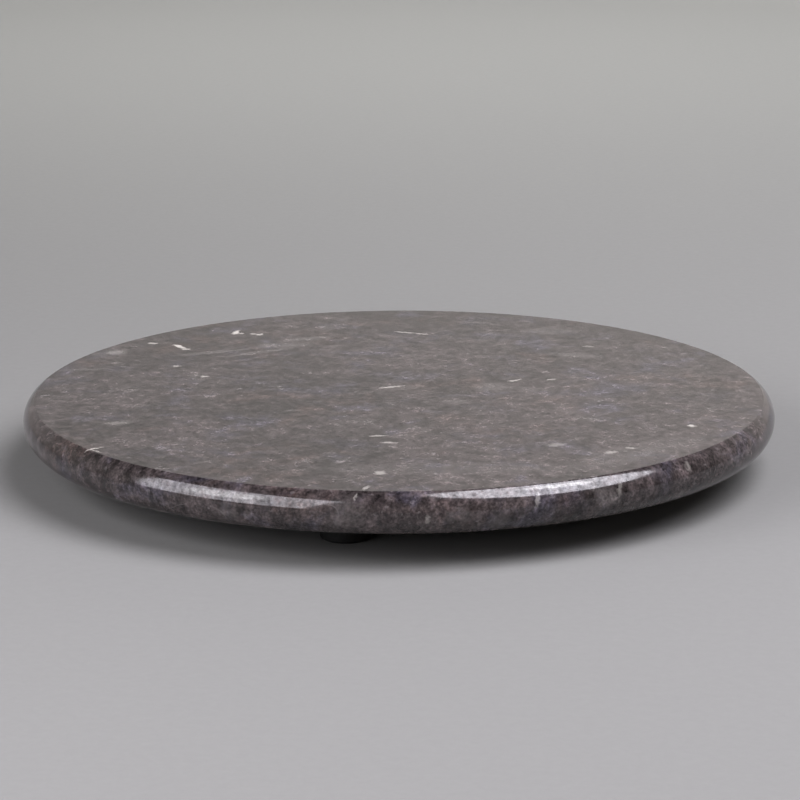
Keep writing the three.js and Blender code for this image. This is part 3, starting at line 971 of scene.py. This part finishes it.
def make_foot_screws(material):
    face, tip = FOOT_SCREW_LOW.z, FOOT_SCREW_HIGH.z
    head = (FOOT_SCREW_HIGH.x - FOOT_SCREW_LOW.x) / 2
    neck = face + FOOT_HEAD_HEIGHT
    profile = [
        (0, face),
        *rounded((head, face), 0.5 * MM, 270),
        (head, neck),
        *shank(neck, tip, plain=0.3 * MM),
    ]
    screw = crossed(revolved("screw", profile, SCREW_SEGMENTS), face, head)
    screws = on_circle(screw, len(FOOT_SCREWS), FOOT_CIRCLE, 0.0, material)
    piece("foot_screws", screws, material, "base", FOOT_SCREWS)


def make_inserts(material):
    bottom, top = INSERT_LOW.z, INSERT_HIGH.z
    radius = (INSERT_HIGH.x - INSERT_LOW.x) / 2
    band = (top - bottom) / 5  # three ribs and two glue grooves
    root = radius - GLUE_GROOVE_DEPTH
    profile = [(SHANK_HOLE, bottom), (radius - INSERT_BEVEL, bottom), (radius, bottom + INSERT_BEVEL)]
    for i in range(2):
        foot = bottom + band * (2 * i + 1)
        profile += [(radius, foot), (root, foot + GLUE_GROOVE_SLOPE)]
        profile += [(root, foot + band - GLUE_GROOVE_SLOPE), (radius, foot + band)]
    profile += [(radius, top - INSERT_BEVEL), (radius - INSERT_BEVEL, top), (SHANK_HOLE, top)]
    insert = revolved("insert", profile, HOLE_SEGMENTS)
    inserts = on_circle(insert, len(INSERTS), ROTOR_SCREW_CIRCLE, ROTOR_SCREW_START, material)
    piece("disc_inserts", inserts, material, "turntable", INSERTS)


def make_feet(settings, material):
    bottom, top = FOOT_LOW.z, FOOT_HIGH.z
    seat = FOOT_SCREW_LOW.z + FOOT_HEAD_HEIGHT + CLEARANCE
    well = (FOOT_SCREW_HIGH.x - FOOT_SCREW_LOW.x) / 2 + CLEARANCE
    profile = [(well, bottom + SOLE_BEVEL), (well + SOLE_BEVEL, bottom)]
    for ring in GRIP_RINGS:
        profile += [(ring - GRIP_DEPTH, bottom), (ring, bottom + GRIP_DEPTH), (ring + GRIP_DEPTH, bottom)]
    profile += rounded((FOOT_RADIUS, bottom), settings.edge_round, 270, 8)
    profile += [
        (FOOT_RADIUS - 0.15 * MM, bottom + 2.6 * MM),
        (FOOT_RADIUS - 0.4 * MM, top - 0.3 * MM),
        (FOOT_RADIUS - 0.7 * MM, top),
        (SHANK_HOLE, top),
        (SHANK_HOLE, seat),
        (well, seat),
    ]
    feet = on_circle(revolved("foot", profile, FOOT_SEGMENTS), len(FEET), FOOT_CIRCLE, 0.0, material)
    piece("rubber_feet", feet, material, "base", FEET)


# ---- Stage -------------------------------------------------------------------------------


def make_backdrop(settings):
    """A round floor that sweeps up into a wall on every side."""
    sweep = arc((FLOOR_RADIUS, SWEEP_RADIUS), SWEEP_RADIUS, -90, 0, SWEEP_STEPS)
    face = [*((radius, 0) for radius in FLOOR_RINGS), *sweep, (FLOOR_RADIUS + SWEEP_RADIUS, WALL_HEIGHT)]
    back = [(radius + PAPER_THICKNESS, height - PAPER_THICKNESS) for radius, height in reversed(face)]
    mesh = revolved("backdrop", [(0, 0), *face, *back, (0, -PAPER_THICKNESS)], BACKDROP_SEGMENTS)
    made = new_object("backdrop", mesh, backdrop_paper(settings))
    shade(mesh)


def soft_light(name, place, facing, size, watts, bearing, tone=WHITE):
    """An area light the camera doesn't see. Its place and the way it faces are as seen from that bearing."""
    light = bpy.data.lights.new(name, "AREA")
    light.shape = "RECTANGLE" if isinstance(size, tuple) else "DISK"
    light.size, light.size_y = size if isinstance(size, tuple) else (size, size)
    light.energy = watts
    light.color = linear(tone)[:3]
    lamp = new_object(name, light)
    turn = Matrix.Rotation(bearing, 3, "Z")
    lamp.location = turn @ Vector(place)
    lamp.rotation_euler = (turn @ Vector(facing)).to_track_quat("-Z", "Y").to_euler()
    lamp.visible_camera = False


def from_disc(way, distance):
    """A place that far from the middle of the stone's underside."""
    return Vector((0, 0, STONE_LOW.z)) + Vector(way).normalized() * distance


def make_camera(settings):
    lens = bpy.data.cameras.new("camera")
    lens.lens = 135
    lens.sensor_width = 36
    lens.clip_end = 20
    camera = new_object("camera", lens)
    bpy.context.scene.camera = camera
    middle = (STONE_LOW.z + STONE_HIGH.z) / 2
    place = Matrix.Translation((settings.sidestep, -settings.setback, middle + settings.rise))
    look = Matrix.Rotation(math.pi / 2 - settings.pitch, 4, "X") @ Matrix.Rotation(-settings.roll, 4, "Z")
    camera.matrix_world = Matrix.Rotation(settings.azimuth, 4, "Z") @ place @ look


def make_lights(settings):
    """Soft lights on the disc, a ring of strips that face the wall, and one on the floor behind."""
    azimuth, left, right = settings.azimuth, settings.left_power, settings.right_power
    # Each soft light has a smaller, hotter middle: name, way from the disc, distance, size, power, tone
    for name, way, distance, size, watts, tone in (
        ("left_softbox", (-0.705, -0.563, 0.43), 1.0, (1.0, 0.72), left, LIGHT_TONE),
        ("left_flash", (-0.72, -0.57, 0.5), 0.97, 0.38, left * 0.1, WHITE),
        ("right_octabox", (0.6, -0.27, 1.0), 1.2, 1.1, right, LIGHT_TONE),
        ("right_flash", (0.56, -0.14, 1.0), 1.12, 0.3, right * 0.05, WHITE),
    ):
        soft_light(name, from_disc(way, distance), -Vector(way), size, watts, azimuth, tone)
    step = 2 * math.pi / len(WALL_SHARES)
    for i, share in enumerate(WALL_SHARES):
        strip = (f"wall_light_{i + 1}", WALL_LIGHT_PLACE, WALL_LIGHT_AIM, WALL_LIGHT_SIZE)
        soft_light(*strip, settings.wall_power * share, azimuth - step * (i + 0.5), WALL_TONE)
    place = from_disc(FLOOR_LIGHT_WAY, FLOOR_LIGHT_DISTANCE)
    soft_light("floor_light", place, FLOOR_LIGHT_AIM, FLOOR_LIGHT_SIZE, settings.floor_power, azimuth)
    world = bpy.data.worlds.new("studio")
    bpy.context.scene.world = world
    world.use_nodes = True
    background = world.node_tree.nodes["Background"]
    background.inputs["Color"].default_value = linear(WHITE)
    background.inputs["Strength"].default_value = settings.fill


# ---- Operators and panel -----------------------------------------------------------------


class LAZYSUSAN_OT_stage(bpy.types.Operator):
    """Make the camera, the lights and the backdrop"""

    bl_idname = "lazysusan.stage"
    bl_label = "Stage"

    def execute(self, context):
        settings = context.scene.lazysusan_stage
        make_camera(settings)
        make_lights(settings)
        make_backdrop(settings)
        # A gentle contrast curve, as a camera gives.
        context.scene.view_settings.view_transform = "Standard"
        context.scene.view_settings.gamma = 0.85
        context.scene.view_settings.exposure = 0.17
        return {"FINISHED"}


class LAZYSUSAN_OT_stone(bpy.types.Operator):
    """Make the polished stone disc"""

    bl_idname = "lazysusan.stone"
    bl_label = "Stone disc"

    def execute(self, context):
        make_stone(context.scene.lazysusan_stone, -context.scene.lazysusan_stage.azimuth)
        return {"FINISHED"}


class LAZYSUSAN_OT_rings(bpy.types.Operator):
    """Make the two rings of the bearing and the plug of its filling hole"""

    bl_idname = "lazysusan.rings"
    bl_label = "Bearing rings"

    def execute(self, context):
        settings = context.scene.lazysusan_bearing
        metal = turned_aluminium(settings)
        make_rotor_ring(metal)
        make_base_ring(metal)
        make_plug(zinc_plated_steel(settings))
        return {"FINISHED"}


class LAZYSUSAN_OT_balls(bpy.types.Operator):
    """Make the bearing balls and the cage that spaces them"""

    bl_idname = "lazysusan.balls"
    bl_label = "Balls and cage"

    def execute(self, context):
        settings = context.scene.lazysusan_bearing
        make_balls(chrome_steel(settings))
        make_cage(moulded_nylon(settings))
        return {"FINISHED"}


class LAZYSUSAN_OT_fixings(bpy.types.Operator):
    """Make the screws and the threaded inserts"""

    bl_idname = "lazysusan.fixings"
    bl_label = "Screws and inserts"

    def execute(self, context):
        settings = context.scene.lazysusan_bearing
        steel = zinc_plated_steel(settings)
        make_rotor_screws(steel)
        make_foot_screws(steel)
        make_inserts(free_cutting_brass(settings))
        return {"FINISHED"}


class LAZYSUSAN_OT_feet(bpy.types.Operator):
    """Make the rubber feet"""

    bl_idname = "lazysusan.feet"
    bl_label = "Rubber feet"

    def execute(self, context):
        settings = context.scene.lazysusan_feet
        make_feet(settings, moulded_rubber(settings))
        return {"FINISHED"}


OPERATORS = (
    LAZYSUSAN_OT_stage,
    LAZYSUSAN_OT_stone,
    LAZYSUSAN_OT_rings,
    LAZYSUSAN_OT_balls,
    LAZYSUSAN_OT_fixings,
    LAZYSUSAN_OT_feet,
)


class LAZYSUSAN_PT_build(bpy.types.Panel):
    """Lists the steps that build the turntable"""

    bl_idname = "LAZYSUSAN_PT_build"
    bl_label = "Lazy Susan"
    bl_space_type = "VIEW_3D"
    bl_region_type = "UI"
    bl_category = "Lazy Susan"

    def draw(self, context):
        for operator in OPERATORS:
            self.layout.operator(operator.bl_idname)


SETTINGS = {
    "lazysusan_stone": StoneSettings,
    "lazysusan_bearing": BearingSettings,
    "lazysusan_feet": FootSettings,
    "lazysusan_stage": StageSettings,
}


def register():
    for group in SETTINGS.values():
        bpy.utils.register_class(group)
    for name, group in SETTINGS.items():
        setattr(bpy.types.Scene, name, PointerProperty(type=group))
    for operator in OPERATORS:
        bpy.utils.register_class(operator)
    bpy.utils.register_class(LAZYSUSAN_PT_build)


def unregister():
    bpy.utils.unregister_class(LAZYSUSAN_PT_build)
    for operator in reversed(OPERATORS):
        bpy.utils.unregister_class(operator)
    for name, group in SETTINGS.items():
        delattr(bpy.types.Scene, name)
        bpy.utils.unregister_class(group)


def main():
    register()
    bpy.ops.lazysusan.stage()
    bpy.ops.lazysusan.stone()
    bpy.ops.lazysusan.rings()
    bpy.ops.lazysusan.balls()
    bpy.ops.lazysusan.fixings()
    bpy.ops.lazysusan.feet()


if __name__ == "__main__":
    main()
